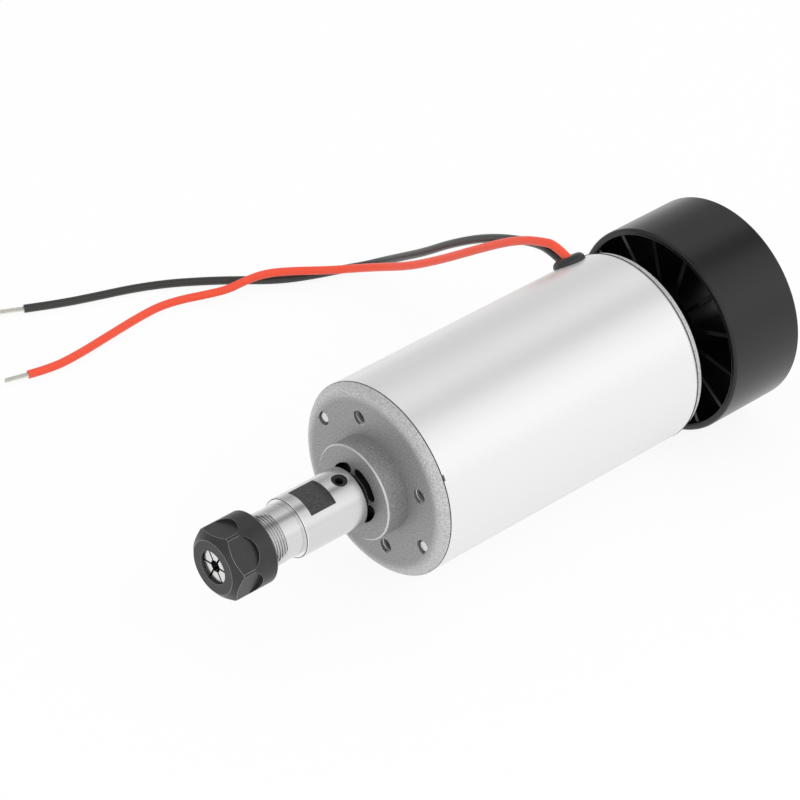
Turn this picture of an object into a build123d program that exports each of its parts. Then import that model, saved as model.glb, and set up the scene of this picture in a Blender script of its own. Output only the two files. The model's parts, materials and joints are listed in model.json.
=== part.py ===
"""Air-cooled motor spindle with a small collet nose, in separate pieces.

The spindle lies along X: the collet nose points to -X and the cooling fan to +X.
The origin is the centre of the front mounting face. Sizes are millimetres and degrees,
and an angle round the spindle is measured from +Y towards +Z.
"""
import os
from math import cos, radians, sin, tan

from build123d import *

os.makedirs("parts", exist_ok=True)

# Casing. A cut runs past its piece by cutter_run, and joined solids share an overlap
can_radius = 26.0
can_wall = 1.8
can_length = 85.6
can_edge = 0.4
lip = 2.3
seam_notch_angle = 152.0
seam_notch_width = 1.6
seam_notch_depth = 0.5
fit_gap = 0.05
can_bore = can_radius - can_wall
can_front = lip
can_rear = lip + can_length
spigot_radius = can_bore - fit_gap
spigot_wall = 1.8
cutter_run = 1.0
overlap = 1.0

# Front bell, with its boss
boss_radius = 12.86
boss_height = 6.3
boss_wall = 3.0
boss_edge = 0.35
face_radius = 22.0
face_rim_x = 0.62
face_rim_radius = 24.6
face_rim_end = 2.0
face_seam_gap = 0.05
front_web = 4.5
front_spigot = 6.7
mount_circle = 17.5
mount_hole = 2.0
mount_angle = 74.5
mount_pad = 3.6
mount_pad_height = 3.5
tie_circle = 20.65
tie_angle = 28.8
tie_radius = 1.5
tie_mouth = 2.0
tie_mouth_depth = 1.4
tie_tip = 0.6
tie_pad = 3.2
slot_outer = 8.1
slot_height = 2.8
slot_angle = 44.0
slot_arc = 55.0
shaft_hole = 4.6
ring_cover = 1.5
boss_front = -boss_height
pocket_front = boss_front + boss_wall

# Ball bearings
race_outer = 11.0
race_inner = 4.0
bearing_width = 7.0
race_wall = 1.5
ball_radius = 1.98
ball_circle = 7.5
ball_count = 7
ball_gap = 0.06
cage_wall = 1.0
cage_width = 4.9
seal_wall = 0.35
housing_wall = 2.0

# Retaining ring of the front bearing
ring_wall = 1.0
ring_grip = 0.8
ring_opening = 40.0

# Rear bell
rim_radius = 25.5
rim_width = 1.8
rear_slope = 1.8
rear_shoulder = 2.8
rear_web = 2.9
rear_spigot = 3.6
rear_bearing_setback = 0.8
rear_hole = 5.2
rear_wall = 1.5
rear_hub_lip = 1.0
washer_room = 0.8
washer_wall = 0.35
vent_circle = 18.0
vent_height = 5.4
vent_arc = 20.0
vent_count = 6
rear_bearing_front = can_rear + rear_bearing_setback
rear_pocket_end = rear_bearing_front + bearing_width + washer_room
hub_end = rear_pocket_end + rear_wall

# Tie bolts
tie_hole_gap = 0.25
tie_head_radius = 2.75
tie_head_height = 2.2
tie_head_slot = 0.8
tie_head_edge = 0.6
tie_end_edge = 0.2
spring_washer = 0.8
spring_washer_split = 0.4

# Magnets and their spring clips
magnet_wall = 6.0
magnet_overhang = 4.0
magnet_arc = 142.0
clip_wall = 0.8
clip_arc = 34.0

# Rotor
air_gap = 0.7
core_front = 18.0
slot_count = 12
winding_slot_width = 4.0
winding_slot_depth = 6.2
slot_mouth = 1.6
slot_bridge = 1.2
shaft_radius = 4.0
shaft_shoulder = 5.0
shaft_front = -25.5
shaft_end_run = 1.4
shaft_edge = 0.4
insulator_wall = 0.8
coil_gap = 0.2
coil_overhang = 7.5
winding_gap = 3.2
coil_inner = 8.6
coil_outer = 15.8
coil_edge = 2.0
core_radius = can_bore - fit_gap - magnet_wall - air_gap

# Commutator
commutator_lead = 3.5
commutator_length = 12.0
commutator_radius = 9.6
commutator_hub = 7.2
segment_count = 24
segment_gap = 2.6
riser_height = 1.3
riser_width = 1.3

# Brush gear
brush_width = 6.3
brush_depth = 5.0
brush_length = 8.7
brush_setback = 10.9
brush_gap = 0.08
box_wall = 0.6
box_gap = 0.1
box_inner = 11.3
box_outer = 23.5
card_wall = 1.5
card_inner = 11.4
card_outer = 22.0
card_screw_circle = 19.0
card_screw_radius = 1.25
card_screw_length = 5.0
card_screw_end_gap = 0.5
card_screw_edge = 0.3
card_post = 2.6
card_notch = 3.5
card_bolt_gap = 1.0
spring_coil = 1.7
spring_wire = 0.3
spring_turns = 4
brush_angles = [tie_angle + 90, tie_angle + 270]
card_screw_angles = [tie_angle + 60, tie_angle + 240]
brush_front = can_rear - brush_setback

# The commutator lies under the brushes, and the core and the magnets fill the room ahead of it
commutator_front = brush_front - commutator_lead
core_rear = commutator_front - winding_gap - coil_overhang - insulator_wall
core_length = core_rear - core_front
magnet_front = core_front - magnet_overhang
magnet_length = core_length + 2 * magnet_overhang

# Cooling fan
fan_radius = 28.3
fan_wall = 1.9
fan_gap = 1.4
fan_length = 24.0
fan_edge = 0.8
blade_count = 14
blade_angle = 56.0
blade_wall = 1.1
blade_setback_rim = 1.4
blade_setback_hub = 2.9
blade_rear_gap = 1.6
hub_radius = 11.5
hub_wall = 1.6
hub_web = 3.0
bush_radius = 6.5
bush_setback = 1.2
bush_length = 17.0
bush_edge = 0.3
fan_front = hub_end + fan_gap
bush_front = fan_front + bush_setback
shaft_rear = bush_front + bush_length + shaft_end_run

# Collet holder
holder_radius = 8.0
holder_gap = 2.3
holder_body = 19.4
holder_edge = 0.4
neck_radius = 6.95
neck_length = 5.4
thread_radius = 7.0
thread_pitch = 0.75
thread_depth = 0.46
thread_length = 12.0
thread_start = 0.6
thread_runout = 0.2
crest_share = 0.1
flank_share = 0.4
holder_bore_gap = 0.02
relief_radius = 3.3
shaft_end_gap = 0.5
flat_radius = 6.6
flat_front = -24.9
flat_length = 7.9
flat_angle = 103.3
grub_x = -12.4
grub_radius = 2.0
grub_length = 3.5
grub_socket = 2.0
grub_socket_depth = 2.0

# Collet
collet_front = -50.3
collet_length = 18.0
collet_bore = 1.5875
collet_face = 4.3
collet_rim = 5.0
collet_groove = 4.6
collet_largest = 5.75
collet_cone = 1.2
collet_rim_width = 0.5
collet_groove_width = 1.3
collet_shoulder = 0.7
collet_taper = 8.0
collet_slot = 0.5
collet_slot_depth = 14.0
collet_rear_slot_depth = 8.5
collet_slot_angle = -2.0
collet_gap = 0.12

# Collet nut
nut_radius = 9.6
nut_length = 12.7
nut_recess = 0.8
nut_face = 7.15
nut_opening = 4.45
nut_flat = 8.5
nut_flat_angle = 140.5
nut_flat_rear = 7.9
nut_cutter = 5.2
nut_bevel = 0.7
nut_bevel_radius = 8.0
nut_shoulder = 1.9
nut_rear_edge = 0.5
nut_thread_gap = 0.08
nut_thread_length = 7.8

# Leads
lead_radius = 1.175
strand_radius = 0.65
strand_length = 6.9
strand_edge = 0.2
lead_grip_gap = 0.05
grommet_x = 82.5
grommet_angle = 53.0
grommet_radius = 4.4
grommet_height = 1.75
grommet_edge = 1.6
grommet_neck = 3.8
grommet_flange = 0.7
grommet_room = 0.5
inner_run = 2.0

red_route = [
    (82.4, 15.6, 21.9),
    (82.3, 20.7, 24.2),
    (82.1, 25.9, 22.8),
    (82.3, 31.5, 20.6),
    (82.7, 39.7, 16.0),
    (83.1, 51.0, 8.3),
    (83.6, 64.8, -1.4),
    (84.2, 78.7, -10.4),
    (84.6, 91.3, -16.7),
    (83.6, 101.6, -21.6),
    (80.6, 106.9, -23.3),
    (76.2, 110.4, -23.2),
    (71.9, 113.8, -23.1),
    (67.4, 116.9, -23.1),
    (63.0, 118.3, -23.0),
    (58.3, 118.7, -23.1),
    (53.9, 120.2, -24.4),
    (48.9, 123.8, -25.6),
    (42.9, 126.6, -25.8),
    (36.0, 127.9, -25.6),
    (27.6, 127.2, -25.4),
    (15.2, 125.2, -25.1),
    (3.7, 123.4, -24.9),
    (-5.8, 122.8, -24.6),
    (-12.2, 124.5, -24.5),
]
black_route = [
    (82.9, 18.7, 19.7),
    (83.5, 24.2, 20.8),
    (84.3, 30.2, 19.5),
    (85.3, 37.3, 16.7),
    (86.4, 45.9, 12.9),
    (87.3, 55.5, 7.8),
    (88.0, 66.7, 0.7),
    (89.2, 77.9, -7.6),
    (90.8, 89.3, -15.2),
    (91.9, 98.0, -21.0),
    (91.0, 105.0, -25.4),
    (87.0, 109.2, -26.8),
    (80.5, 111.6, -26.7),
    (73.2, 114.9, -26.6),
    (67.3, 118.6, -26.4),
    (62.4, 123.0, -26.3),
    (57.4, 127.2, -26.2),
    (52.2, 130.9, -26.0),
    (45.4, 135.4, -25.8),
    (36.3, 139.9, -25.6),
    (25.8, 143.5, -25.4),
    (15.5, 147.2, -25.1),
    (7.0, 151.4, -24.9),
]


def at_angle(radius, angle):
    """The Y and Z of a point at this radius and angle round the spindle."""
    return radius * cos(radians(angle)), radius * sin(radians(angle))


def radial_plane(x, radius, angle):
    """A plane square to a radius, with its own X along the spindle and its own Z outward."""
    y, z = at_angle(radius, angle)
    return Plane(origin=(x, y, z), x_dir=(1, 0, 0), z_dir=(0, *at_angle(1, angle)))


def sector(inner, outer, middle, arc):
    """A piece of a flat ring, centred on the angle `middle`."""
    with BuildSketch() as face:
        with BuildLine():
            rim = CenterArc((0, 0), outer, middle - arc / 2, arc)
            root = CenterArc((0, 0), inner, middle - arc / 2, arc)
            Line(rim @ 0, root @ 0)
            Line(rim @ 1, root @ 1)
        make_face()
    return face.sketch


def outline(*points):
    """Half of a turned section, given as (x, radius) points, to be revolved about the spindle."""
    with BuildSketch() as face:
        with BuildLine():
            Polyline(*points, close=True)
        make_face()
    return face.sketch


def bend_radii(route):
    """The radius of each bend, as wide as the shorter of its two runs allows."""
    points = [Vector(*point) for point in route]
    radii = []
    for before, corner, after in zip(points, points[1:], points[2:]):
        run_in = corner - before
        run_out = after - corner
        turn = radians(run_in.get_angle(run_out))
        radii.append(0.45 * min(run_in.length, run_out.length) / tan(turn / 2))
    return radii


# Motor can: a plain steel tube with a hole for the lead grommet
grommet_seat = radial_plane(grommet_x, 0, grommet_angle)
with BuildPart() as motor_can:
    with BuildSketch(Plane.YZ.offset(can_front)):
        Circle(can_radius)
        Circle(can_bore, mode=Mode.SUBTRACT)
    extrude(amount=can_length)
    rear_edges = motor_can.edges().group_by(Axis.X)[-1]
    chamfer(rear_edges.sort_by(SortBy.RADIUS)[-1], can_edge)
    with BuildSketch(grommet_seat):
        Circle(grommet_neck)
    extrude(amount=can_radius + cutter_run, mode=Mode.SUBTRACT)
    with BuildSketch(radial_plane(can_front, can_bore - cutter_run, seam_notch_angle)):
        Rectangle(2 * seam_notch_depth, seam_notch_width)
    extrude(amount=can_wall + 2 * cutter_run, mode=Mode.SUBTRACT)
motor_can.part.label = "motor_can"
export_step(motor_can.part, "parts/motor_can.step")

# Front bell: mounting face, boss, bearing pocket and the spigot that enters the can
housing_radius = race_outer + housing_wall
housing_front_end = pocket_front + bearing_width + ring_wall + ring_cover
ring_front = pocket_front + bearing_width
with BuildPart() as front_bell:
    with BuildSketch():
        with BuildLine():
            rim_radius_front = can_radius - face_seam_gap
            rim_curve = ThreePointArc(
                (0, face_radius),
                (face_rim_x, face_rim_radius),
                (face_rim_end, rim_radius_front),
            )
            Polyline(
                rim_curve @ 1,
                (lip, rim_radius_front),
                (lip, spigot_radius),
                (lip + front_spigot, spigot_radius),
                (lip + front_spigot, spigot_radius - spigot_wall),
                (front_web, spigot_radius - spigot_wall),
                (front_web, housing_radius),
                (housing_front_end, housing_radius),
                (housing_front_end, race_outer),
                (pocket_front, race_outer),
                (pocket_front, shaft_hole),
                (boss_front, shaft_hole),
                (boss_front, boss_radius),
                (0, boss_radius),
                rim_curve @ 0,
            )
        make_face()
    revolve(axis=Axis.X)
    chamfer(front_bell.edges().group_by(Axis.X)[0].sort_by(SortBy.RADIUS)[-1], boss_edge)
    with BuildSketch(Plane.YZ.offset(front_web)):
        with PolarLocations(mount_circle, 4, start_angle=mount_angle):
            Circle(mount_pad)
    extrude(amount=mount_pad_height)
    with BuildSketch(Plane.YZ.offset(front_web)):
        with PolarLocations(tie_circle, 2, start_angle=tie_angle):
            Circle(tie_pad)
    extrude(amount=lip + front_spigot - front_web)
    with BuildSketch(Plane.YZ):
        with PolarLocations(mount_circle, 4, start_angle=mount_angle):
            Circle(mount_hole)
    extrude(amount=front_web + mount_pad_height, mode=Mode.SUBTRACT)
    with BuildSketch(Plane.YZ):
        with PolarLocations(tie_circle, 2, start_angle=tie_angle):
            Circle(tie_radius + fit_gap)
    extrude(amount=lip + front_spigot, mode=Mode.SUBTRACT)
    with BuildSketch(Plane.YZ):
        with PolarLocations(tie_circle, 2, start_angle=tie_angle):
            Circle(tie_mouth)
    extrude(amount=tie_mouth_depth, mode=Mode.SUBTRACT)
    slot_middle = slot_outer - slot_height / 2
    with BuildSketch(Plane.YZ.offset(boss_front)):
        for turn in range(4):
            slot_start = slot_angle + 90 * turn - slot_arc / 2
            SlotArc(CenterArc((0, 0), slot_middle, slot_start, slot_arc), slot_height)
    extrude(amount=boss_wall, mode=Mode.SUBTRACT)
    with BuildSketch(Plane.YZ.offset(ring_front)):
        Circle(race_outer + ring_grip + fit_gap)
    extrude(amount=ring_wall + fit_gap, mode=Mode.SUBTRACT)
front_bell.part.label = "front_bell"
export_step(front_bell.part, "parts/front_bell.step")

# Rear bell: closes the can, holds the rear bearing and lets the cooling air out
rear_face = can_rear + rim_width + rear_slope
card_front = brush_front + brush_width + box_gap + box_wall + fit_gap
card_back = card_front + card_wall
with BuildPart() as rear_bell:
    revolve(
        outline(
            (can_rear - rear_spigot, spigot_radius - spigot_wall),
            (can_rear - rear_spigot, spigot_radius),
            (can_rear, spigot_radius),
            (can_rear, rim_radius),
            (can_rear + rim_width, rim_radius),
            (rear_face, rim_radius - rear_shoulder),
            (rear_face, housing_radius),
            (hub_end, housing_radius),
            (hub_end, rear_hole),
            (rear_pocket_end, rear_hole),
            (rear_pocket_end, race_outer),
            (rear_face - rear_web - rear_hub_lip, race_outer),
            (rear_face - rear_web - rear_hub_lip, housing_radius),
            (rear_face - rear_web, housing_radius),
            (rear_face - rear_web, spigot_radius - spigot_wall),
        ),
        axis=Axis.X,
    )
    with BuildSketch(Plane.YZ.offset(card_back)):
        with PolarLocations(card_screw_circle, 2, start_angle=card_screw_angles[0]):
            Circle(card_post)
    extrude(amount=rear_face - rear_web - card_back)
    with BuildSketch(Plane.YZ.offset(card_back)):
        with PolarLocations(card_screw_circle, 2, start_angle=card_screw_angles[0]):
            Circle(card_screw_radius + fit_gap)
    extrude(amount=card_screw_length, mode=Mode.SUBTRACT)
    with BuildSketch(Plane.YZ.offset(rear_face - rear_web)):
        with PolarLocations(tie_circle, 2, start_angle=tie_angle):
            Circle(tie_radius + tie_hole_gap)
    extrude(amount=rear_web, mode=Mode.SUBTRACT)
    with BuildSketch(Plane.YZ.offset(rear_face - rear_web)):
        for turn in range(vent_count):
            vent_start = tie_angle + (turn + 0.5) * 360 / vent_count - vent_arc / 2
            SlotArc(CenterArc((0, 0), vent_circle, vent_start, vent_arc), vent_height)
    extrude(amount=rear_web, mode=Mode.SUBTRACT)
    with BuildSketch(grommet_seat):
        Circle(grommet_radius + grommet_room)
    extrude(amount=can_bore, mode=Mode.SUBTRACT)
rear_bell.part.label = "rear_bell"
export_step(rear_bell.part, "parts/rear_bell.step")

# Two long bolts tie the bells together through the gaps between the magnets
head_seat = rear_face + spring_washer
with BuildPart() as tie_bolts:
    with BuildSketch(Plane.YZ.offset(tie_tip)):
        with PolarLocations(tie_circle, 2, start_angle=tie_angle):
            Circle(tie_radius)
    extrude(amount=head_seat - tie_tip)
    chamfer(tie_bolts.edges().group_by(Axis.X)[0], tie_end_edge)
    with BuildSketch(Plane.YZ.offset(head_seat)):
        with PolarLocations(tie_circle, 2, start_angle=tie_angle):
            Circle(tie_head_radius)
    extrude(amount=tie_head_height)
    fillet(tie_bolts.edges().group_by(Axis.X)[-1], tie_head_edge)
    with BuildSketch(Plane.YZ.offset(head_seat + tie_head_height)):
        with PolarLocations(tie_circle, 2, start_angle=tie_angle):
            Rectangle(2 * tie_head_radius, tie_head_slot)
    extrude(amount=-tie_head_height / 2, mode=Mode.SUBTRACT)
tie_bolts.part.label = "tie_bolts"
export_step(tie_bolts.part, "parts/tie_bolts.step")

with BuildPart() as tie_bolt_washers:
    with BuildSketch(Plane.YZ.offset(rear_face)):
        with PolarLocations(tie_circle, 2, start_angle=tie_angle):
            Circle(tie_head_radius)
            Circle(tie_radius + fit_gap, mode=Mode.SUBTRACT)
            with Locations((tie_head_radius, 0)):
                Rectangle(2 * tie_head_radius, spring_washer_split, mode=Mode.SUBTRACT)
    extrude(amount=spring_washer)
tie_bolt_washers.part.label = "tie_bolt_washers"
export_step(tie_bolt_washers.part, "parts/tie_bolt_washers.step")

# Two curved magnets are glued to the can, and spring clips hold them apart
magnet_outer = can_bore - fit_gap
with BuildPart() as magnets:
    with BuildSketch(Plane.YZ.offset(magnet_front)):
        for angle in brush_angles:
            add(sector(magnet_outer - magnet_wall, magnet_outer, angle, magnet_arc))
    extrude(amount=magnet_length)
magnets.part.label = "magnets"
export_step(magnets.part, "parts/magnets.step")

with BuildPart() as magnet_clips:
    with BuildSketch(Plane.YZ.offset(magnet_front)):
        for angle in (tie_angle, tie_angle + 180):
            add(sector(magnet_outer - clip_wall, magnet_outer, angle, clip_arc))
    extrude(amount=magnet_length)
magnet_clips.part.label = "magnet_clips"
export_step(magnet_clips.part, "parts/magnet_clips.step")

# Two ball bearings: races, balls, cage and the seals that close each side
for side, bearing_front in (("front", pocket_front), ("rear", rear_bearing_front)):
    bearing_middle = bearing_front + bearing_width / 2
    with BuildPart() as outer_race:
        with BuildSketch(Plane.YZ.offset(bearing_front)):
            Circle(race_outer)
            Circle(race_outer - race_wall, mode=Mode.SUBTRACT)
        extrude(amount=bearing_width)
        with BuildSketch():
            with Locations((bearing_middle, ball_circle)):
                Circle(ball_radius + ball_gap)
        revolve(axis=Axis.X, mode=Mode.SUBTRACT)
    outer_race.part.label = f"{side}_outer_race"
    export_step(outer_race.part, f"parts/{side}_outer_race.step")

    with BuildPart() as inner_race:
        with BuildSketch(Plane.YZ.offset(bearing_front)):
            Circle(race_inner + race_wall)
            Circle(race_inner, mode=Mode.SUBTRACT)
        extrude(amount=bearing_width)
        with BuildSketch():
            with Locations((bearing_middle, ball_circle)):
                Circle(ball_radius + ball_gap)
        revolve(axis=Axis.X, mode=Mode.SUBTRACT)
    inner_race.part.label = f"{side}_inner_race"
    export_step(inner_race.part, f"parts/{side}_inner_race.step")

    with BuildPart() as balls:
        with Locations(Plane.YZ.offset(bearing_middle)):
            with PolarLocations(ball_circle, ball_count):
                Sphere(ball_radius)
    balls.part.label = f"{side}_balls"
    export_step(balls.part, f"parts/{side}_balls.step")

    with BuildPart() as cage:
        with BuildSketch(Plane.YZ.offset(bearing_middle - cage_width / 2)):
            Circle(ball_circle + cage_wall / 2)
            Circle(ball_circle - cage_wall / 2, mode=Mode.SUBTRACT)
        extrude(amount=cage_width)
        for turn in range(ball_count):
            with BuildSketch(radial_plane(bearing_middle, race_inner, turn * 360 / ball_count)):
                Circle(ball_radius + ball_gap)
            extrude(amount=race_outer - race_inner, mode=Mode.SUBTRACT)
    cage.part.label = f"{side}_cage"
    export_step(cage.part, f"parts/{side}_cage.step")

    with BuildPart() as seals:
        for start in (bearing_front + seal_wall, bearing_front + bearing_width - 2 * seal_wall):
            with BuildSketch(Plane.YZ.offset(start)):
                Circle(race_outer - race_wall)
                Circle(race_inner + race_wall + 2 * ball_gap, mode=Mode.SUBTRACT)
            extrude(amount=seal_wall)
    seals.part.label = f"{side}_seals"
    export_step(seals.part, f"parts/{side}_seals.step")

# Retaining ring that keeps the front bearing in its pocket
with BuildPart() as bearing_ring:
    with BuildSketch(Plane.YZ.offset(ring_front + fit_gap)):
        add(sector(race_outer - race_wall, race_outer + ring_grip, -90, 360 - ring_opening))
    extrude(amount=ring_wall - fit_gap)
bearing_ring.part.label = "bearing_retaining_ring"
export_step(bearing_ring.part, "parts/bearing_retaining_ring.step")

# Spring washer that loads the rear bearing
washer_front = rear_bearing_front + bearing_width + (washer_room - washer_wall) / 2
with BuildPart() as preload_washer:
    with BuildSketch(Plane.YZ.offset(washer_front)):
        Circle(race_outer - fit_gap)
        Circle(race_outer - race_wall, mode=Mode.SUBTRACT)
    extrude(amount=washer_wall)
preload_washer.part.label = "preload_washer"
export_step(preload_washer.part, "parts/preload_washer.step")

# Shaft: one turned piece, thicker between its bearings
with BuildPart() as motor_shaft:
    revolve(
        outline(
            (shaft_front, 0),
            (shaft_front, shaft_radius),
            (pocket_front + bearing_width, shaft_radius),
            (pocket_front + bearing_width, shaft_shoulder),
            (rear_bearing_front, shaft_shoulder),
            (rear_bearing_front, shaft_radius),
            (shaft_rear, shaft_radius),
            (shaft_rear, 0),
        ),
        axis=Axis.X,
    )
    chamfer(motor_shaft.edges().group_by(Axis.X)[0], shaft_edge)
    chamfer(motor_shaft.edges().group_by(Axis.X)[-1], shaft_edge)
motor_shaft.part.label = "motor_shaft"
export_step(motor_shaft.part, "parts/motor_shaft.step")

# Armature: laminated core, end insulators and the coils in its slots
slot_top = core_radius - slot_bridge
slot_centre = slot_top - winding_slot_depth / 2
with BuildPart() as armature_core:
    with BuildSketch(Plane.YZ.offset(core_front)):
        Circle(core_radius)
        Circle(shaft_shoulder, mode=Mode.SUBTRACT)
        with PolarLocations(slot_centre, slot_count):
            Rectangle(winding_slot_depth, winding_slot_width, mode=Mode.SUBTRACT)
        with PolarLocations(core_radius, slot_count):
            Rectangle(2 * slot_bridge + cutter_run, slot_mouth, mode=Mode.SUBTRACT)
    extrude(amount=core_length)
armature_core.part.label = "armature_core"
export_step(armature_core.part, "parts/armature_core.step")

notch_depth = winding_slot_depth + 2 * cutter_run
with BuildPart() as armature_insulators:
    for start in (core_front - insulator_wall, core_rear):
        with BuildSketch(Plane.YZ.offset(start)):
            Circle(core_radius - coil_gap)
            Circle(shaft_shoulder, mode=Mode.SUBTRACT)
            with PolarLocations(slot_centre + cutter_run, slot_count):
                Rectangle(notch_depth, winding_slot_width, mode=Mode.SUBTRACT)
        extrude(amount=insulator_wall)
armature_insulators.part.label = "armature_insulators"
export_step(armature_insulators.part, "parts/armature_insulators.step")

coil_front = core_front - insulator_wall
coil_rear = core_rear + insulator_wall
with BuildPart() as armature_windings:
    for start in (coil_front - coil_overhang, coil_rear):
        with BuildSketch(Plane.YZ.offset(start)):
            Circle(coil_outer)
            Circle(coil_inner, mode=Mode.SUBTRACT)
        extrude(amount=coil_overhang)
    for end in (0, -1):
        fillet(armature_windings.edges().group_by(Axis.X)[end], coil_edge)
    with BuildSketch(Plane.YZ.offset(coil_front - overlap)):
        with PolarLocations(slot_centre, slot_count):
            Rectangle(winding_slot_depth - 2 * coil_gap, winding_slot_width - 2 * coil_gap)
    extrude(amount=coil_rear - coil_front + 2 * overlap)
armature_windings.part.label = "armature_windings"
export_step(armature_windings.part, "parts/armature_windings.step")

# Commutator: copper segments on a moulded hub
with BuildPart() as commutator_core:
    with BuildSketch(Plane.YZ.offset(commutator_front)):
        Circle(commutator_hub)
        Circle(shaft_shoulder, mode=Mode.SUBTRACT)
    extrude(amount=commutator_length)
commutator_core.part.label = "commutator_hub"
export_step(commutator_core.part, "parts/commutator_hub.step")

segment_pitch = 360 / segment_count
with BuildPart() as commutator_segments:
    with BuildSketch(Plane.YZ.offset(commutator_front)):
        for turn in range(segment_count):
            add(sector(commutator_hub, commutator_radius, turn * segment_pitch, segment_pitch - segment_gap))
    extrude(amount=commutator_length)
    with BuildSketch(Plane.YZ.offset(commutator_front)):
        for turn in range(segment_count):
            add(
                sector(
                    commutator_hub,
                    commutator_radius + riser_height,
                    turn * segment_pitch,
                    segment_pitch - segment_gap,
                )
            )
    extrude(amount=riser_width)
commutator_segments.part.label = "commutator_segments"
export_step(commutator_segments.part, "parts/commutator_segments.step")

# Brush gear: a card screwed to the rear bell, with two brass boxes for the carbons
box_front = brush_front - box_gap - box_wall
box_width = brush_width + 2 * (box_gap + box_wall)
box_depth = brush_depth + 2 * (box_gap + box_wall)
box_middle = brush_front + brush_width / 2
notch_arc = 2 * (grommet_angle - tie_angle)
red_inner_stops = [
    (grommet_x, 21.5, 62),
    (box_middle, 16.8, 77),
    (box_middle, 16.6, 91),
    (box_middle, 16.6, 106.0),
]
black_inner_stops = [
    (grommet_x, 21.6, 50),
    (box_middle, 17.0, 30),
    (box_middle, 16.4, 8),
    (box_middle, 16.4, -14),
    (box_middle, 16.4, -34),
    (box_middle, 16.4, -48.2),
]
with BuildPart() as brush_card:
    with BuildSketch(Plane.YZ.offset(card_front)):
        Circle(card_outer)
        Circle(card_inner, mode=Mode.SUBTRACT)
        with PolarLocations(card_screw_circle, 2, start_angle=card_screw_angles[0]):
            Circle(card_screw_radius + fit_gap, mode=Mode.SUBTRACT)
        with PolarLocations(tie_circle, 2, start_angle=tie_angle):
            Circle(tie_radius + card_bolt_gap, mode=Mode.SUBTRACT)
        notch = sector(card_outer - card_notch, card_outer + cutter_run, grommet_angle, notch_arc)
        add(notch, mode=Mode.SUBTRACT)
    extrude(amount=card_wall)
brush_card.part.label = "brush_card"
export_step(brush_card.part, "parts/brush_card.step")

with BuildPart() as brush_card_screws:
    with BuildSketch(Plane.YZ.offset(card_front)):
        with PolarLocations(card_screw_circle, 2, start_angle=card_screw_angles[0]):
            Circle(card_screw_radius)
    extrude(amount=card_wall + card_screw_length - card_screw_end_gap)
    with BuildSketch(Plane.YZ.offset(card_front)):
        with PolarLocations(card_screw_circle, 2, start_angle=card_screw_angles[0]):
            Circle(2 * card_screw_radius)
    extrude(amount=-card_screw_radius)
    chamfer(brush_card_screws.edges().group_by(Axis.X)[0], card_screw_edge)
brush_card_screws.part.label = "brush_card_screws"
export_step(brush_card_screws.part, "parts/brush_card_screws.step")

with BuildPart() as brush_boxes:
    for angle in brush_angles:
        with BuildSketch(radial_plane(box_middle, box_inner, angle)):
            Rectangle(box_width, box_depth)
        extrude(amount=box_outer - box_inner)
        with BuildSketch(radial_plane(box_middle, box_inner, angle)):
            Rectangle(brush_width + 2 * box_gap, brush_depth + 2 * box_gap)
        extrude(amount=box_outer - box_inner - box_wall, mode=Mode.SUBTRACT)
brush_boxes.part.label = "brush_boxes"
export_step(brush_boxes.part, "parts/brush_boxes.step")

brush_face = commutator_radius + brush_gap
for number, angle in enumerate(brush_angles, start=1):
    with BuildPart() as carbon_brush:
        with BuildSketch(radial_plane(box_middle, brush_face - overlap, angle)):
            Rectangle(brush_width, brush_depth)
        extrude(amount=brush_length + overlap)
        with BuildSketch(Plane.YZ.offset(brush_front)):
            Circle(brush_face)
        extrude(amount=brush_width, mode=Mode.SUBTRACT)
    carbon_brush.part.label = f"carbon_brush_{number}"
    export_step(carbon_brush.part, f"parts/carbon_brush_{number}.step")

    spring_foot = brush_face + brush_length + spring_wire + fit_gap
    spring_height = box_outer - box_wall - spring_foot - spring_wire - fit_gap
    seat = radial_plane(box_middle, spring_foot, angle)
    with BuildPart() as brush_spring:
        with BuildLine() as coil:
            Helix(
                pitch=spring_height / spring_turns,
                height=spring_height,
                radius=spring_coil,
                center=tuple(seat.origin),
                direction=tuple(seat.z_dir),
            )
        with BuildSketch(Plane(origin=coil.line @ 0, z_dir=coil.line % 0)):
            Circle(spring_wire)
        sweep()
    brush_spring.part.label = f"brush_spring_{number}"
    export_step(brush_spring.part, f"parts/brush_spring_{number}.step")

# Cooling fan: a shrouded wheel on a brass bush, which turns with the shaft
fan_rear = fan_front + fan_length
blade_rear = fan_rear - blade_rear_gap
with BuildPart() as cooling_fan:
    with BuildSketch(Plane.YZ.offset(fan_front)):
        Circle(fan_radius)
        Circle(fan_radius - fan_wall, mode=Mode.SUBTRACT)
    extrude(amount=fan_length)
    for end in (0, -1):
        fillet(cooling_fan.edges().group_by(Axis.X)[end], fan_edge)
    with BuildSketch(Plane.YZ.offset(fan_front + blade_setback_hub)):
        Circle(hub_radius)
        Circle(hub_radius - hub_wall, mode=Mode.SUBTRACT)
    extrude(amount=blade_rear - fan_front - blade_setback_hub)
    with BuildSketch(Plane.YZ.offset(fan_front + blade_setback_hub)):
        Circle(hub_radius - hub_wall / 2)
        Circle(bush_radius, mode=Mode.SUBTRACT)
    extrude(amount=hub_web)
    blade_root = hub_radius - hub_wall / 2
    blade_tip = fan_radius - fan_wall / 2
    for turn in range(blade_count):
        angle = blade_angle + turn * 360 / blade_count
        blade_plane = Plane(origin=(0, 0, 0), x_dir=(1, 0, 0), z_dir=(0, *at_angle(1, angle - 90)))
        with BuildSketch(blade_plane):
            with BuildLine():
                Polyline(
                    (fan_front + blade_setback_hub, blade_root),
                    (fan_front + blade_setback_rim, blade_tip),
                    (blade_rear, blade_tip),
                    (blade_rear, blade_root),
                    close=True,
                )
            make_face()
        extrude(amount=blade_wall / 2, both=True)
cooling_fan.part.label = "cooling_fan"
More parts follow.
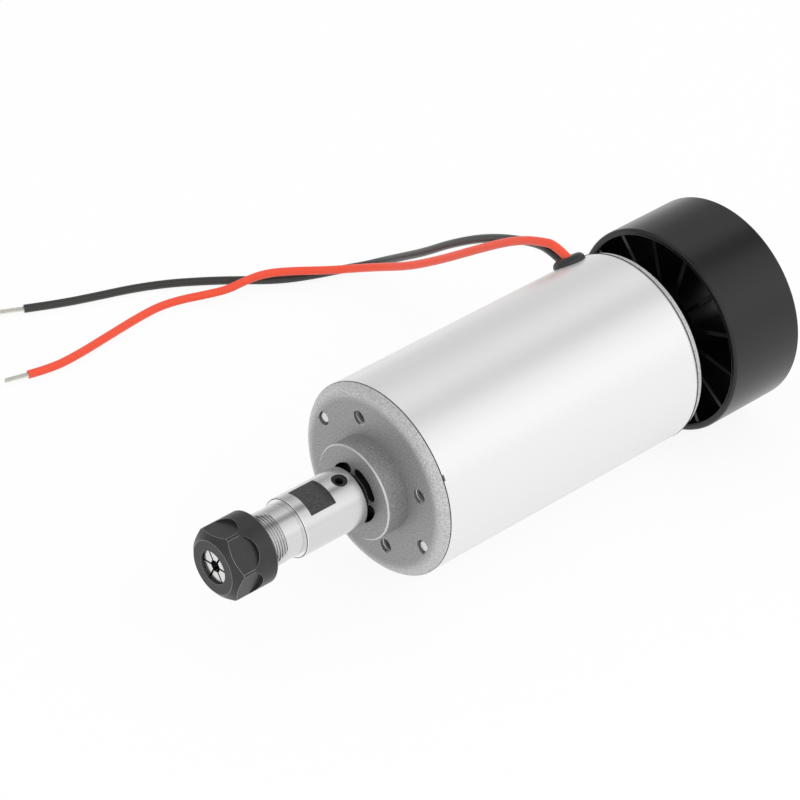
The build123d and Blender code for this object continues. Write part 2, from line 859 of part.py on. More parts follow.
export_step(cooling_fan.part, "parts/cooling_fan.step")

with BuildPart() as fan_bush:
    with BuildSketch(Plane.YZ.offset(bush_front)):
        Circle(bush_radius)
        Circle(shaft_radius, mode=Mode.SUBTRACT)
    extrude(amount=bush_length)
    for end in (0, -1):
        chamfer(fan_bush.edges().group_by(Axis.X)[end], bush_edge)
fan_bush.part.label = "fan_bush"
export_step(fan_bush.part, "parts/fan_bush.step")

# Collet: sprung steel sleeve, slotted from both ends
cone_end = collet_front + collet_cone
rim_end = cone_end + collet_rim_width
groove_end = rim_end + collet_groove_width
largest_at = groove_end + collet_shoulder
collet_rear = collet_front + collet_length
collet_slope = tan(radians(collet_taper))
collet_tail = collet_largest - (collet_rear - largest_at) * collet_slope
slot_reach = collet_largest + cutter_run
with BuildPart() as collet:
    revolve(
        outline(
            (collet_front, collet_bore),
            (collet_front, collet_face),
            (cone_end, collet_rim),
            (rim_end, collet_rim),
            (rim_end, collet_groove),
            (groove_end, collet_groove),
            (largest_at, collet_largest),
            (collet_rear, collet_tail),
            (collet_rear, collet_bore),
        ),
        axis=Axis.X,
    )
    for start, depth, turn in (
        (collet_front, collet_slot_depth, 0),
        (collet_rear - collet_rear_slot_depth, collet_rear_slot_depth, 30),
    ):
        with BuildSketch(Plane.YZ.offset(start)):
            with PolarLocations(slot_reach / 2, 6, start_angle=collet_slot_angle + turn):
                Rectangle(slot_reach, collet_slot)
        extrude(amount=depth, mode=Mode.SUBTRACT)
collet.part.label = "collet"
export_step(collet.part, "parts/collet.step")

# Collet holder: fixed on the shaft by two grub screws, with a thread for the nut
holder_rear = boss_front - holder_gap
shoulder = holder_rear - holder_body
thread_rear = shoulder - neck_length
thread_front = thread_rear - thread_length
holder_front = thread_front - thread_start
seat_mouth = collet_largest - (holder_front - largest_at) * collet_slope + collet_gap
seat_end = collet_rear + collet_gap
seat_tail = collet_largest - (seat_end - largest_at) * collet_slope + collet_gap
thread_outline = []
for turn in range(round(thread_length / thread_pitch)):
    crest = thread_rear - turn * thread_pitch
    thread_outline += [
        (crest - crest_share * thread_pitch, thread_radius),
        (crest - (crest_share + flank_share) * thread_pitch, thread_radius - thread_depth),
        (crest - (1 - flank_share) * thread_pitch, thread_radius - thread_depth),
    ]
with BuildPart() as collet_holder:
    revolve(
        outline(
            (holder_rear, race_inner + holder_bore_gap),
            (holder_rear, holder_radius),
            (shoulder, holder_radius),
            (shoulder, neck_radius),
            (thread_rear + thread_runout, neck_radius),
            (thread_rear, thread_radius),
            *thread_outline,
            (thread_front, thread_radius),
            (holder_front, thread_radius - thread_depth),
            (holder_front, seat_mouth),
            (seat_end, seat_tail),
            (seat_end, relief_radius),
            (shaft_front - shaft_end_gap, relief_radius),
            (shaft_front - shaft_end_gap, race_inner + holder_bore_gap),
        ),
        axis=Axis.X,
    )
    round_edges = collet_holder.edges().filter_by(GeomType.CIRCLE)
    outer_edges = round_edges.filter_by(lambda edge: abs(edge.radius - holder_radius) < 0.01)
    fillet(outer_edges, holder_edge)
    for angle in (flat_angle, flat_angle + 180):
        with BuildSketch(radial_plane(flat_front + flat_length / 2, flat_radius, angle)):
            Rectangle(flat_length, 2 * holder_radius)
        extrude(amount=holder_radius, mode=Mode.SUBTRACT)
        with BuildSketch(radial_plane(grub_x, race_inner - cutter_run, angle)):
            Circle(grub_radius + fit_gap)
        extrude(amount=holder_radius, mode=Mode.SUBTRACT)
collet_holder.part.label = "collet_holder"
export_step(collet_holder.part, "parts/collet_holder.step")

grub_foot = race_inner + fit_gap
with BuildPart() as grub_screws:
    for angle in (flat_angle, flat_angle + 180):
        with BuildSketch(radial_plane(grub_x, grub_foot, angle)):
            Circle(grub_radius)
        extrude(amount=grub_length)
        with BuildSketch(radial_plane(grub_x, grub_foot + grub_length, angle)):
            RegularPolygon(grub_socket / 2, 6, major_radius=False)
        extrude(amount=-grub_socket_depth, mode=Mode.SUBTRACT)
grub_screws.part.label = "grub_screws"
export_step(grub_screws.part, "parts/grub_screws.step")

# Collet nut: a round nut with six milled flats, which draws the collet into its taper
nut_front = collet_front - nut_recess
nut_rear = nut_front + nut_length
thread_end = nut_rear - nut_thread_length
nut_bore = thread_radius + nut_thread_gap
ridge_radius = collet_groove + 2 * collet_gap
with BuildPart() as collet_nut:
    revolve(
        outline(
            (nut_front, nut_opening),
            (nut_front, nut_face),
            (nut_front + nut_bevel, nut_bevel_radius),
            (nut_front + nut_shoulder, nut_radius),
            (nut_rear - nut_rear_edge, nut_radius),
            (nut_rear, nut_radius - nut_rear_edge),
            (nut_rear, nut_bore),
            (thread_end, nut_bore),
            (largest_at - collet_gap, collet_largest + collet_gap),
            (groove_end - collet_gap, ridge_radius),
            (rim_end + collet_gap, ridge_radius),
            (rim_end + collet_gap, collet_rim + collet_gap),
            (cone_end - collet_gap, collet_rim + collet_gap),
            (collet_front - collet_gap, nut_opening),
        ),
        axis=Axis.X,
    )
    flat_rear = nut_front + nut_flat_rear
    cutter_middle = flat_rear - nut_cutter
    flat_reach = cutter_middle - nut_front + cutter_run
    for turn in range(6):
        flat_plane = radial_plane(0, nut_flat, nut_flat_angle + 60 * turn)
        with BuildSketch(flat_plane):
            with Locations((cutter_middle, 0)):
                Circle(nut_cutter)
            with Locations((cutter_middle - flat_reach / 2, 0)):
                Rectangle(flat_reach, 2 * nut_cutter)
        extrude(amount=nut_radius - nut_flat + cutter_run, mode=Mode.SUBTRACT)
collet_nut.part.label = "collet_nut"
export_step(collet_nut.part, "parts/collet_nut.step")

# Leads inside the can, from the grommet to the brush boxes
inner_paths = {}
for color, route, stops in (
    ("red", red_route, red_inner_stops),
    ("black", black_route, black_inner_stops),
):
    start = Vector(*route[0])
    direction = (Vector(*route[1]) - start).normalized()
    inner_route = [route[0], tuple(start - direction * inner_run)]
    inner_route += [(x, *at_angle(radius, angle)) for x, radius, angle in stops]
    with BuildPart() as inner_lead:
        with BuildLine() as path:
            FilletPolyline(*inner_route, radius=bend_radii(inner_route))
        with BuildSketch(Plane(origin=path.line @ 0, z_dir=path.line % 0)):
            Circle(lead_radius)
        sweep()
    inner_lead.part.label = f"{color}_inner_lead"
    export_step(inner_lead.part, f"parts/{color}_inner_lead.step")
    inner_paths[color] = path.line

# Rubber grommet: a round pad on the can, with a neck and a flange inside the can's hole
with BuildPart() as lead_grommet:
    with BuildSketch(grommet_seat.offset(can_bore - grommet_flange)):
        Circle(grommet_radius)
    extrude(amount=can_wall + grommet_flange + grommet_height)
    fillet(lead_grommet.faces().sort_by(SortBy.DISTANCE, reverse=True)[0].edges(), grommet_edge)
    with BuildSketch(Plane.YZ.offset(grommet_x - 2 * grommet_radius)):
        Circle(can_radius + fit_gap / 2)
        Circle(can_bore - fit_gap, mode=Mode.SUBTRACT)
    extrude(amount=4 * grommet_radius, mode=Mode.SUBTRACT)
    with BuildSketch(grommet_seat.offset(can_bore - grommet_flange)):
        Circle(grommet_neck - fit_gap)
    extrude(amount=can_wall + grommet_flange + grommet_height / 2)
    for path in inner_paths.values():
        mouth = Plane(origin=path @ 0, z_dir=path % 0)
        with BuildSketch(mouth):
            Circle(lead_radius + lead_grip_gap)
        sweep(path=path, mode=Mode.SUBTRACT)
        with BuildSketch(mouth):
            Circle(lead_radius + lead_grip_gap)
        extrude(amount=-4 * grommet_height, mode=Mode.SUBTRACT)
lead_grommet.part.label = "lead_grommet"
export_step(lead_grommet.part, "parts/lead_grommet.step")

# The two free leads, each with a tinned end
for color, route in (("red", red_route), ("black", black_route)):
    radii = bend_radii(route)
    print(color, "lead, bend radii:", [round(radius, 1) for radius in radii])
    with BuildPart() as lead:
        with BuildLine() as path:
            FilletPolyline(*route, radius=radii)
        with BuildSketch(Plane(origin=path.line @ 0, z_dir=path.line % 0)):
            Circle(lead_radius)
        sweep()
    lead.part.label = f"{color}_lead"
    export_step(lead.part, f"parts/{color}_lead.step")

    with BuildPart() as tinned_end:
        with BuildSketch(Plane(origin=path.line @ 1, z_dir=path.line % 1)):
            Circle(strand_radius)
        extrude(amount=strand_length)
        end_circles = tinned_end.edges().filter_by(GeomType.CIRCLE)
        chamfer(end_circles.sort_by(SortBy.DISTANCE)[-1], strand_edge)
    tinned_end.part.label = f"{color}_tinned_end"
    export_step(tinned_end.part, f"parts/{color}_tinned_end.step")
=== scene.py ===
"""A motor spindle dressed for rendering. It is laid out as an add-on and run as a script."""
import json
from math import cos, pi, radians, sin

import bmesh
import bpy
from bpy.props import FloatProperty, FloatVectorProperty, PointerProperty
from mathutils import Matrix, Vector


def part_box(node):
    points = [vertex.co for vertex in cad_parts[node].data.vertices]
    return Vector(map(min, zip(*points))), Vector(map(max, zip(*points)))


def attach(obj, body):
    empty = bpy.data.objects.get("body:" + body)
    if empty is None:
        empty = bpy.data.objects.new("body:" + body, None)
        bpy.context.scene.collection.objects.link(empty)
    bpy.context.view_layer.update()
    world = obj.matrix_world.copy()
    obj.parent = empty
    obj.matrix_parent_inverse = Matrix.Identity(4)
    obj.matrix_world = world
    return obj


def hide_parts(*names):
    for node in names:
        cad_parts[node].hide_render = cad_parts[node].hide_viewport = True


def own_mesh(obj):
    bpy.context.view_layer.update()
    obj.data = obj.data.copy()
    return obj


bl_info = {
    "name": "Motor spindle",
    "version": (1, 0, 0),
    "blender": (4, 5, 0),
    "location": "View3D > Sidebar > Spindle",
    "description": "Dresses the packed motor spindle and sets its stage",
    "category": "Object",
}

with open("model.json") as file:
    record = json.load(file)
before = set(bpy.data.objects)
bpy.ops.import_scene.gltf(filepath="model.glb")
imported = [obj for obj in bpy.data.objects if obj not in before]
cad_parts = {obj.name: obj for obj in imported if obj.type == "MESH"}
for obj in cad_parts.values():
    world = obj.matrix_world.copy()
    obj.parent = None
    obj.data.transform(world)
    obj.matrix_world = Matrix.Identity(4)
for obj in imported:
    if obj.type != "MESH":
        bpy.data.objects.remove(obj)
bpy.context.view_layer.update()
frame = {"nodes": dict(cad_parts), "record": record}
mm = 0.001

# How far the part of a face's normal along the spindle may be off
normal_slack = 0.01

# Edges of the castings that are blunter than this many degrees aren't rounded
casting_angle = 50

# The seals at the can's ends: how far they lie past the end and under the can's surface, and their height
seam_gap = 0.1 * mm
seam_sink = 0.05 * mm
seam_height = 0.11 * mm

# The tapped holes: the angle of the first, the turns of its thread and where the thread starts
first_hole = radians(74.5)
thread_turns = 9.0
thread_start = 0.5 * mm

# The holder: where its wrench flats begin, how near a face has to be to count as one, and from where to where
# its shoulder goes with the rounded edge. The flats take a dark finish as a painted dark reflection. The
# shoulder, whose normals have an X below shoulder_highlight_lean, takes a painted highlight, and the dark
# line on its edge, whose normals have an X from reflection_line_start to reflection_line_end, is a painted
# dark reflection.
flats_front = -25.2 * mm
flat_slack = 0.1 * mm
shoulder_front = -28.1 * mm
shoulder_rear = -27.6 * mm
shoulder_highlight_lean = -0.3
reflection_line_start = -0.99
reflection_line_end = -0.75

# The planes of the collet's slot walls pass the axis nearer than this; these walls take the black carbon
# finish as painted shade
shaded_collet_slot = 0.3 * mm

# The bare end of a lead: how long and thick it is, and how far its strands are twisted
bare_length = 6.7 * mm
bare_radius = 0.65 * mm
bare_turns = 0.8
outer_strands = 11
inner_strands = 5

# The leads' diameter, and their lengths from the grommet to the strands, in metres
lead_diameter = 0.00235
red_length = 0.2041
black_length = 0.1965

# What metal sees of the room: the angle round the spindle, in degrees from Y towards Z, and how bright it is
SKY_BANDS = (
    (-180, 0.96),
    (-60, 0.7),
    (-26, 0.54),
    (-6, 0.7),
    (14, 0.64),
    (34, 0.48),
    (54, 0.66),
    (74, 0.84),
    (92, 0.38),
    (98, 0.38),
    (114, 0.86),
    (134, 1.04),
    (154, 1.16),
    (174, 0.98),
)

# The leads' routes, in metres, as the solids have them
red_route = [
    (0.0824, 0.0156, 0.0219),
    (0.0823, 0.0207, 0.0242),
    (0.0821, 0.0259, 0.0228),
    (0.0823, 0.0315, 0.0206),
    (0.0827, 0.0397, 0.0160),
    (0.0831, 0.0510, 0.0083),
    (0.0836, 0.0648, -0.0014),
    (0.0842, 0.0787, -0.0104),
    (0.0846, 0.0913, -0.0167),
    (0.0836, 0.1016, -0.0216),
    (0.0806, 0.1069, -0.0233),
    (0.0762, 0.1104, -0.0232),
    (0.0719, 0.1138, -0.0231),
    (0.0674, 0.1169, -0.0231),
    (0.0630, 0.1183, -0.0230),
    (0.0583, 0.1187, -0.0231),
    (0.0539, 0.1202, -0.0244),
    (0.0489, 0.1238, -0.0256),
    (0.0429, 0.1266, -0.0258),
    (0.0360, 0.1279, -0.0256),
    (0.0276, 0.1272, -0.0254),
    (0.0152, 0.1252, -0.0251),
    (0.0037, 0.1234, -0.0249),
    (-0.0058, 0.1228, -0.0246),
    (-0.0122, 0.1245, -0.0245),
]
black_route = [
    (0.0829, 0.0187, 0.0197),
    (0.0835, 0.0242, 0.0208),
    (0.0843, 0.0302, 0.0195),
    (0.0853, 0.0373, 0.0167),
    (0.0864, 0.0459, 0.0129),
    (0.0873, 0.0555, 0.0078),
    (0.0880, 0.0667, 0.0007),
    (0.0892, 0.0779, -0.0076),
    (0.0908, 0.0893, -0.0152),
    (0.0919, 0.0980, -0.0210),
    (0.0910, 0.1050, -0.0254),
    (0.0870, 0.1092, -0.0268),
    (0.0805, 0.1116, -0.0267),
    (0.0732, 0.1149, -0.0266),
    (0.0673, 0.1186, -0.0264),
    (0.0624, 0.1230, -0.0263),
    (0.0574, 0.1272, -0.0262),
    (0.0522, 0.1309, -0.0260),
    (0.0454, 0.1354, -0.0258),
    (0.0363, 0.1399, -0.0256),
    (0.0258, 0.1435, -0.0254),
    (0.0155, 0.1472, -0.0251),
    (0.0070, 0.1514, -0.0249),
]


def colour(name, description, default):
    """A colour property of the sidebar."""
    return FloatVectorProperty(
        name=name, description=description, subtype="COLOR", size=3, min=0, max=1, default=default
    )


def length(name, description, default):
    """A length property of the sidebar, in metres."""
    return FloatProperty(name=name, description=description, unit="LENGTH", precision=5, default=default)


class SpindleFinishes(bpy.types.PropertyGroup):
    """Colours of the finishes."""

    can: colour("Can", "Satin nickel of the can", (0.84, 0.84, 0.845))
    casting: colour("Castings", "Blasted aluminium of the bells", (0.33, 0.33, 0.33))
    casting_edge: colour("Casting edges", "Lighter edges of the bells", (0.62, 0.62, 0.62))
    steel: colour("Steel", "Ground steel of the holder and the shaft", (0.7, 0.7, 0.7))
    nut: colour("Nut", "Black oxide of the nut", (0.04, 0.04, 0.042))
    nut_edge: colour("Nut edges", "Worn edges of the nut", (0.32, 0.32, 0.32))
    fan: colour("Fan", "Black moulding of the fan", (0.002, 0.002, 0.0022))
    red_lead: colour("Red lead", "Insulation of the red lead", (0.93, 0.07, 0.025))
    black_lead: colour("Black lead", "Insulation of the black lead", (0.022, 0.025, 0.022))


class SpindleSizes(bpy.types.PropertyGroup):
    """Sizes that the solids leave to the finish."""

    casting_edge: length("Casting edge", "Rounding of the bells' edges", 0.25 * mm)
    steel_edge: length("Steel edge", "Rounding of the holder's edges", 0.15 * mm)
    nut_edge: length("Nut edge", "Rounding of the nut's edges", 0.25 * mm)
    fan_edge: length("Fan edge", "Rounding of the fan's edges", 0.12 * mm)
    thread_pitch: length("Thread pitch", "Pitch of the tapped holes", 0.7 * mm)
    thread_depth: length("Thread depth", "Height of the tapped holes' thread", 0.24 * mm)
    strand: length("Strand", "Diameter of one copper strand", 0.26 * mm)
    seam: length("Seam", "Width of the seal at the can's ends", 0.3 * mm)
    flat_reach: length("Wrench flats", "Distance of the wrench flats from the axis", 6.6 * mm)
    collet_edge: length("Collet edge", "Rounding of the collet's edges", 0.08 * mm)
    # boss_wall and slot_reach bound the slot walls, which take the black seal finish as painted shade
    boss_wall: length("Boss wall", "Where the boss slots begin, in front of the mounting face", 3.2 * mm)
    slot_reach: length("Boss slots", "Distance of the boss slots' far wall from the axis", 8.3 * mm)


class SpindleStage(bpy.types.PropertyGroup):
    """Camera and light."""

    lens: FloatProperty(name="Lens", description="Focal length in millimetres", default=166.04)
    key: FloatProperty(name="Key lamp", description="Power in watts", default=3.0)
    sky: FloatProperty(name="Sky", description="Strength of what the metal reflects", default=1.0)


def link(tree, source, target):
    """Joins an output to an input."""
    tree.links.new(source, target)


def put(tree, kind, values=None, **settings):
    """A new node with its settings and input values. A value may be another node's output."""
    made = tree.nodes.new(kind)
    for name, value in settings.items():
        setattr(made, name, value)
    for name, value in (values or {}).items():
        socket = made.inputs[name]
        if isinstance(value, bpy.types.NodeSocket):
            link(tree, value, socket)
        else:
            socket.default_value = value
    return made


def shader_group(name, inputs, outputs):
    """An empty shader node group with these sockets."""
    tree = bpy.data.node_groups.new(name, "ShaderNodeTree")
    for label, kind, default in inputs:
        socket = tree.interface.new_socket(label, in_out="INPUT", socket_type=kind)
        if default is not None:
            socket.default_value = default
    for label, kind in outputs:
        tree.interface.new_socket(label, in_out="OUTPUT", socket_type=kind)
    return tree, tree.nodes.new("NodeGroupInput").outputs, tree.nodes.new("NodeGroupOutput").inputs


def maths(tree, operation, first, second, **settings):
    """What a math node makes of two values."""
    return put(tree, "ShaderNodeMath", {0: first, 1: second}, operation=operation, **settings).outputs[0]


def from_axis(tree, vector):
    """The place along the spindle, and the distance from its axis."""
    parts = put(tree, "ShaderNodeSeparateXYZ", {0: vector}).outputs
    flat = put(tree, "ShaderNodeCombineXYZ", {"Y": parts["Y"], "Z": parts["Z"]})
    radius = put(tree, "ShaderNodeVectorMath", {0: flat.outputs[0]}, operation="LENGTH")
    return parts["X"], radius.outputs["Value"]


def two_tones(tree, noise, given):
    """The light and the dark colour mixed by a noise, as strongly as the contrast says."""
    spread = maths(tree, "MULTIPLY", maths(tree, "SUBTRACT", noise, 0.5), given["Contrast"])
    share = maths(tree, "ADD", spread, 0.5, use_clamp=True)
    tones = {"Factor": share, "A": given["Dark"], "B": given["Light"]}
    return put(tree, "ShaderNodeMix", tones, data_type="RGBA").outputs["Result"]


def grain_group():
    """Fine grain: colour, roughness and height that vary from point to point."""
    tree, given, out = shader_group(
        "Grain",
        [
            ("Vector", "NodeSocketVector", None),
            ("Light", "NodeSocketColor", (1, 1, 1, 1)),
            ("Dark", "NodeSocketColor", (0, 0, 0, 1)),
            ("Scale", "NodeSocketFloat", 3000.0),
            ("Contrast", "NodeSocketFloat", 0.5),
            ("Roughness", "NodeSocketFloat", 0.5),
            ("Roughness spread", "NodeSocketFloat", 0.1),
        ],
        [("Color", "NodeSocketColor"), ("Roughness", "NodeSocketFloat"), ("Height", "NodeSocketFloat")],
    )
    grain = {"Vector": given["Vector"], "Scale": given["Scale"], "Detail": 3.0}
    patches = {"Vector": given["Vector"], "Scale": 60.0, "Detail": 4.0}
    fine = put(tree, "ShaderNodeTexNoise", grain).outputs[0]
    cloud = put(tree, "ShaderNodeTexNoise", patches).outputs[0]
    rough = maths(tree, "MULTIPLY", maths(tree, "SUBTRACT", cloud, 0.5), given["Roughness spread"])
    link(tree, two_tones(tree, fine, given), out["Color"])
    link(tree, maths(tree, "ADD", rough, given["Roughness"]), out["Roughness"])
    link(tree, fine, out["Height"])
    return tree


def turning_group():
    """Marks of a lathe tool: rings round the spindle that follow both its sides and its faces."""
    tree, given, out = shader_group(
        "Turning marks",
        [
            ("Vector", "NodeSocketVector", None),
            ("Light", "NodeSocketColor", (1, 1, 1, 1)),
            ("Dark", "NodeSocketColor", (0, 0, 0, 1)),
            ("Lines per metre", "NodeSocketFloat", 6000.0),
            ("Contrast", "NodeSocketFloat", 0.5),
        ],
        [("Color", "NodeSocketColor"), ("Height", "NodeSocketFloat")],
    )
    along, radius = from_axis(tree, given["Vector"])
    place = maths(tree, "MULTIPLY", maths(tree, "ADD", along, radius), given["Lines per metre"])
    marks = {"W": place, "Scale": 1.0, "Detail": 2.0}
    lines = put(tree, "ShaderNodeTexNoise", marks, noise_dimensions="1D").outputs[0]
    link(tree, two_tones(tree, lines, given), out["Color"])
    link(tree, lines, out["Height"])
    return tree


def rim_highlight_and_hole_shade_group():
    """Paints a highlight into a colour towards a casting's rounded outer rim, and paints shade round the
    shaft's hole.
    """
    tree, given, out = shader_group(
        "Painted rim highlight and hole shade",
        [
            ("Vector", "NodeSocketVector", None),
            ("Color", "NodeSocketColor", (1, 1, 1, 1)),
            ("Start", "NodeSocketFloat", 0.0215),
            ("End", "NodeSocketFloat", 0.0245),
            ("Gain", "NodeSocketFloat", 1.65),
            ("Hole", "NodeSocketFloat", 0.0053),
            ("Hole end", "NodeSocketFloat", 0.0055),
            ("Hole shade", "NodeSocketFloat", 0.05),
        ],
        [("Color", "NodeSocketColor")],
    )
    _, radius = from_axis(tree, given["Vector"])
    # Start, End and Gain paint the rim's highlight; Hole, Hole end and Hole shade paint the shade round the
    # shaft's hole
    rim = {"Value": radius, 1: given["Start"], 2: given["End"], 3: 1.0, 4: given["Gain"]}
    hole = {"Value": radius, 1: given["Hole"], 2: given["Hole end"], 3: given["Hole shade"], 4: 1.0}
    gain = put(tree, "ShaderNodeMapRange", rim, interpolation_type="SMOOTHSTEP").outputs[0]
    shadow = put(tree, "ShaderNodeMapRange", hole).outputs[0]
    both = maths(tree, "MULTIPLY", gain, shadow)
    lit = put(tree, "ShaderNodeVectorMath", {0: given["Color"], "Scale": both}, operation="SCALE")
    link(tree, lit.outputs[0], out["Color"])
    return tree


# The shader groups, by the functions that make them
GROUPS = {}


def group(maker):
    """The shader group that this function makes, made once."""
    if maker not in GROUPS:
        GROUPS[maker] = maker()
    return GROUPS[maker]


def tint(colour_value, factor):
    """The colour times a factor, with its alpha."""
    return tuple(min(1.0, part * factor) for part in tuple(colour_value)[:3]) + (1.0,)


def new_material(name, metallic, **constants):
    """A material with a Principled shader, its constants on the shader's own sockets."""
    material = bpy.data.materials.new(name)
    material.use_nodes = True
    shader = material.node_tree.nodes["Principled BSDF"]
    shader.inputs["Metallic"].default_value = metallic
    for socket, value in constants.items():
        shader.inputs[socket.replace("_", " ")].default_value = value
    return material, material.node_tree, shader


def lay_on(tree, shader, color, roughness, height, bump, depth):
    """Joins a finish's colour, roughness and bumps to its shader."""
    bumps = put(tree, "ShaderNodeBump", {"Height": height, "Strength": bump, "Distance": depth})
    link(tree, color, shader.inputs["Base Color"])
    link(tree, roughness, shader.inputs["Roughness"])
    link(tree, bumps.outputs[0], shader.inputs["Normal"])


def grained(
    name, base, rough, metallic=0.0, scale=3000.0, contrast=0.6, bump=0.02, depth=0.00002, **constants
):
    """A finish with fine grain, for castings, mouldings, rubber and oxide."""
    material, tree, shader = new_material(name, metallic, **constants)
    values = {
        "Vector": put(tree, "ShaderNodeTexCoord").outputs["Object"],
        "Light": tint(base, 1.25),
        "Dark": tint(base, 0.75),
        "Scale": scale,
        "Contrast": contrast,
        "Roughness": rough,
        "Roughness spread": 0.25 * rough,
    }
    grain = put(tree, "ShaderNodeGroup", values, node_tree=group(grain_group)).outputs
    lay_on(tree, shader, grain["Color"], grain["Roughness"], grain["Height"], bump, depth)
    return material


def turned(name, base, rough, lines=6000.0, contrast=0.6, bump=0.03):
    """A metal finish with a lathe tool's rings."""
    material, tree, shader = new_material(name, 1.0)
    where = put(tree, "ShaderNodeTexCoord").outputs["Object"]
    rings = {
        "Vector": where,
        "Light": tint(base, 1.1),
        "Dark": tint(base, 0.88),
        "Lines per metre": lines,
        "Contrast": contrast,
    }
    patches = {"Vector": where, "Roughness": rough, "Roughness spread": 0.3 * rough}
    marks = put(tree, "ShaderNodeGroup", rings, node_tree=group(turning_group)).outputs
    grain = put(tree, "ShaderNodeGroup", patches, node_tree=group(grain_group)).outputs
    lay_on(tree, shader, marks["Color"], grain["Roughness"], marks["Height"], bump, 0.00001)
    return material


def with_rim_highlight_and_hole_shade(material):
    """The finish with a painted highlight towards its outer rim, and painted shade round the shaft's hole."""
    tree = material.node_tree
    base = tree.nodes["Principled BSDF"].inputs["Base Color"]
    plain = {
        "Vector": put(tree, "ShaderNodeTexCoord").outputs["Object"],
        "Color": base.links[0].from_socket,
    }
    rim = put(tree, "ShaderNodeGroup", plain, node_tree=group(rim_highlight_and_hole_shade_group))
    link(tree, rim.outputs["Color"], base)
    return material


# The finishes, by name
FINISHES = {}


def make_finishes():
    """Every finish of the spindle. Its numbers come in the order of the arguments of grained or turned."""
    c = bpy.context.scene.spindle_finishes
    FINISHES.update(
        can=grained("can nickel", c.can, 0.34, 0.6, 5000, 0.25, 0.04),
        # The can's rounded edges take a lighter finish as a painted highlight
        can_edge=grained("can edge painted highlight", (0.92, 0.92, 0.92), 0.2, 1.0, 4000, 0.2),
        # The castings carry a painted highlight on their outer rim and painted shade round the shaft's hole
        casting=with_rim_highlight_and_hole_shade(grained("blasted casting", c.casting, 0.5, 0.6, 2400, 2.6, 0.6, 0.00006)),
        # A lighter finish for the bells' chamfers, rounded edges and tapped threads
        casting_edge=grained("lighter casting edge", c.casting_edge, 0.35, 0.8, 3000, 1.2, 0.1),
        steel=turned("ground steel", c.steel, 0.16, 7000, 0.5),
        # The holder's rounded edges and its shoulder take this lighter steel as a painted highlight
        steel_edge=turned("steel edge highlight", (0.9, 0.9, 0.9), 0.12, 7000, 0.2),
        # This dark finish is a painted dark reflection on the holder's wrench flats and on a line round its
        # shoulder
        flats=grained("steel dark reflection", (0.075, 0.075, 0.077), 0.42, 0.6, 2000, 3.0, 0.6, 0.00006),
        nut=grained("nut oxide", c.nut, 0.38, 0.5, 2600, 1.2, 0.12, 0.00003),
        nut_edge=grained("nut worn edge", c.nut_edge, 0.32, 0.9, 2500, 1.4, 0.1),
        collet=turned("collet steel", (0.74, 0.74, 0.73), 0.22, 9000, 0.8),
        collet_edge=turned("collet edge", (0.85, 0.85, 0.85), 0.2, 9000, 0.3),
        screw=grained("screw oxide", (0.03, 0.03, 0.032), 0.4, 0.6, 3000, 0.8, 0.1),
        bolt=grained("bolt zinc", (0.72, 0.72, 0.7), 0.3, 1.0, 2500, 0.5),
        fan=grained("fan moulding", c.fan, 0.26, 0.0, 5200, 0.6, 0.03),
        # The fan's rounded edges take this lighter black as a painted highlight
        fan_edge=grained("fan edge painted highlight", (0.05, 0.05, 0.052), 0.38, 0.0, 5200, 0.6, 0.05),
        brass=turned("turned brass", (0.72, 0.5, 0.2), 0.25, 5000, 0.8),
        grommet=grained("grommet rubber", (0.018, 0.02, 0.02), 0.42, 0.0, 3200, 0.7, 0.12),
        # This black also serves as painted shade on the walls of the boss's slots
        seal=grained("bearing seal", (0.012, 0.012, 0.012), 0.45, 0.0, 2600, 0.6, 0.1),
        red_lead=grained("red insulation", c.red_lead, 0.4, 0.0, 2400, 0.3, 0.05, Coat_Weight=0.08),
        black_lead=grained("black insulation", c.black_lead, 0.36, 0.0, 2400, 0.5, 0.05, Coat_Weight=0.15),
        tinned=grained("tinned copper", (0.78, 0.77, 0.72), 0.25, 1.0, 3500, 0.8),
        race=turned("bearing steel", (0.8, 0.8, 0.8), 0.1, 8000, 0.3),
        spring=grained("spring steel", (0.4, 0.4, 0.41), 0.3, 1.0, 3000, 0.6),
        magnet=grained("ferrite", (0.045, 0.045, 0.047), 0.7, 0.1, 2200, 0.9, 0.25),
        core=turned("stacked sheets", (0.36, 0.36, 0.37), 0.4, 2000, 2.4, 0.3),
        insulator=grained("red fibre", (0.32, 0.035, 0.02), 0.55, 0.0, 1800, 0.7, 0.1),
        copper=turned("enamelled copper", (0.62, 0.2, 0.07), 0.28, 1500, 1.6, 0.8),
        segments=turned("commutator copper", (0.75, 0.33, 0.18), 0.25, 5000, 0.8),
        moulding=grained("phenolic moulding", (0.06, 0.025, 0.015), 0.5, 0.0, 1800, 0.7, 0.1),
        # This black also serves as painted shade on the collet's slot walls
        carbon=grained("pressed carbon", (0.03, 0.03, 0.032), 0.6, 0.2, 2600, 0.8, 0.2),
        seam=grained("seam seal", (0.02, 0.02, 0.02), 0.5, 0.0, 3000, 0.5),
    )


def finish(name):
    """A finish by its name."""
    if not FINISHES:
        make_finishes()
    return FINISHES[name]


def dress(finish_name, *nodes):
    """Gives CAD nodes their finish."""
    for node in nodes:
        slots = frame["nodes"][node].data.materials
        slots.clear()
        slots.append(finish(finish_name))


def body_of(node):
    """The body that a CAD node belongs to."""
    bodies = frame["record"]["behaviour"]["bodies"]
    return next(body for body, nodes in bodies.items() if node in nodes)


def new_object(name, data):
    """An object at the origin that holds this data."""
    made = bpy.data.objects.new(name, data)
    bpy.context.scene.collection.objects.link(made)
    return made


